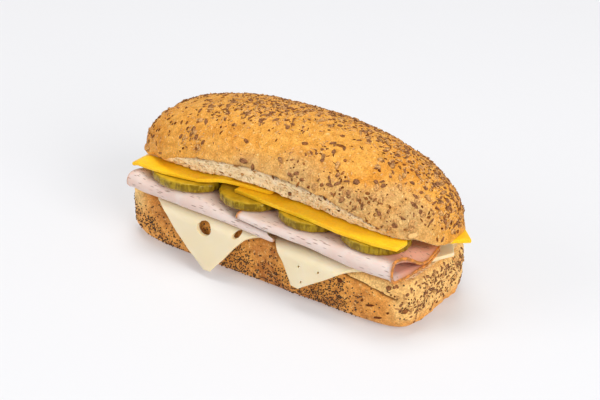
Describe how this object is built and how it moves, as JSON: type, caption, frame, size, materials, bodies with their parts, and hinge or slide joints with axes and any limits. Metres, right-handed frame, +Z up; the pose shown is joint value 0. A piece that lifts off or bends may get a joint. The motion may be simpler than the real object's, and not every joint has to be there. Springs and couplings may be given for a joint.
{
  "type": "sandwich",
  "caption": "Long multigrain roll sandwich with Swiss cheese corners hanging at the sides, folded ham, pickle slices and cheddar between two seeded bun halves.",
  "frame": {"origin": "on the table plane under the middle of the bottom bun's length, where the sandwich rests", "axes": "+X along the roll towards its right end, +Z up, -Y towards the opened side with the crumb showing"},
  "size_m": [0.1979, 0.0894, 0.0862],
  "materials": {
    "toasted_crust": "baked golden-brown crust, matt with a faint sheen",
    "bread_crumb": "pale open bread crumb, matt",
    "grain_flake": "brown bran and linseed flakes and pale oat slivers, matt",
    "poppy_seed": "tiny blue-black seeds, matt",
    "swiss_cheese": "pale ivory cheese, waxy",
    "sliced_ham": "moist pale pink cooked ham with an orange-brown rind",
    "pickle": "wet olive-green pickle, translucent",
    "cheddar": "yellow-orange cheddar, waxy"
  },
  "bodies": {
    "root": {"bottom_bun": "toasted_crust", "top_bun": "toasted_crust", "swiss_slice_left": "swiss_cheese", "swiss_slice_right": "swiss_cheese", "ham_slice_left": "sliced_ham", "ham_slice_right": "sliced_ham", "pickle_front_1": "pickle", "pickle_front_2": "pickle", "pickle_front_3": "pickle", "pickle_front_4": "pickle", "pickle_back_1": "pickle", "pickle_back_2": "pickle", "pickle_back_3": "pickle", "pickle_back_4": "pickle", "cheddar_slice_left": "cheddar", "cheddar_slice_right": "cheddar", "cheddar_slice_end": "cheddar"}
  },
  "joints": []
}
